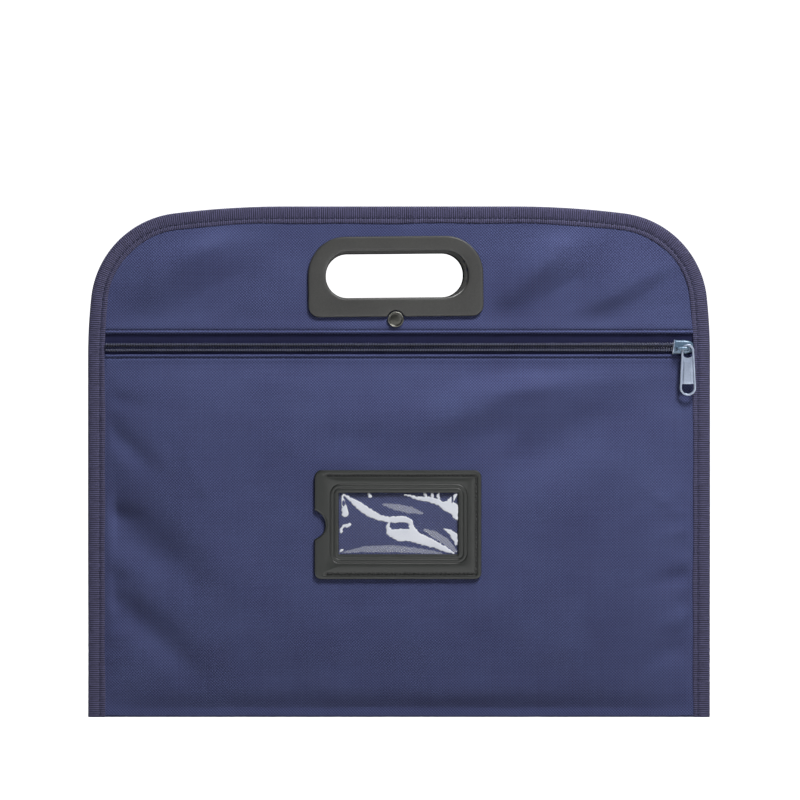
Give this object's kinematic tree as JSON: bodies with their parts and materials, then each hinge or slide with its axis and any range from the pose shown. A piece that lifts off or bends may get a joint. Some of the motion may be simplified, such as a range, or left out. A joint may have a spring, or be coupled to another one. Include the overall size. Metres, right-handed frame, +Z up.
{
  "type": "cash deposit bag",
  "caption": "Flat navy cloth deposit bag with a moulded grip through its top, a zip across the front, a bound edge and a clear label window.",
  "frame": {"origin": "middle of the bottom fold, on the plane between the front and back cloth, at the bag's lowest point", "axes": "+X to the right as seen from the front, +Z up towards the grip, the zip and label face -Y"},
  "size_m": [0.38, 0.017, 0.312],
  "materials": {
    "oxford_cloth": "coated woven polyester",
    "binding_tape": "ribbed grosgrain tape",
    "sewing_thread": "twisted polyester thread",
    "zip_tape": "woven zip tape",
    "zip_coil": "nylon coil",
    "slider_enamel": "blue-grey stoved enamel on zinc",
    "handle_plastic": "fine-textured moulding",
    "rivet_metal": "gunmetal plate",
    "label_pvc": "soft moulded vinyl",
    "label_film": "clear creased vinyl film"
  },
  "bodies": {
    "bag_shell": {"back_panel": "oxford_cloth", "yoke_panel": "oxford_cloth", "edge_binding": "binding_tape", "binding_thread": "sewing_thread", "yoke_hem_thread": "sewing_thread", "zip_tape_upper": "zip_tape", "zip_coil_upper": "zip_coil", "zip_core_upper": "sewing_thread", "handle_front_shell": "handle_plastic", "handle_back_shell": "handle_plastic", "rivet_cap": "rivet_metal", "rivet_post": "rivet_metal"},
    "front_mouth": {"front_panel": "oxford_cloth", "front_hem_thread": "sewing_thread", "zip_tape_lower": "zip_tape", "zip_coil_lower": "zip_coil", "zip_core_lower": "sewing_thread", "label_frame": "label_pvc", "label_window": "label_film", "label_thread": "sewing_thread"},
    "slider": {"slider_body": "slider_enamel"},
    "pull": {"pull_tab": "slider_enamel"}
  },
  "joints": [
    {"name": "slider_slide", "type": "slide", "parent": "bag_shell", "child": "slider", "axis": [-1, 0, 0], "range_m": [0, 0.34]},
    {"name": "pull_swing", "type": "hinge", "parent": "slider", "child": "pull", "pos_m": [0.176, -0.0058, 0.226], "axis": [0, 1, 0], "range_deg": [-90, 35]},
    {"name": "mouth_open", "type": "hinge", "parent": "bag_shell", "child": "front_mouth", "pos_m": [0, -0.0009, 0.002], "axis": [1, 0, 0], "range_deg": [0, 9], "deforming": ["front_panel", "front_hem_thread", "zip_tape_lower", "zip_coil_lower", "zip_core_lower"]}
  ],
  "couplings": [
    {"joint": "mouth_open", "follows": "slider_slide", "rad_per_m": 0.46}
  ]
}
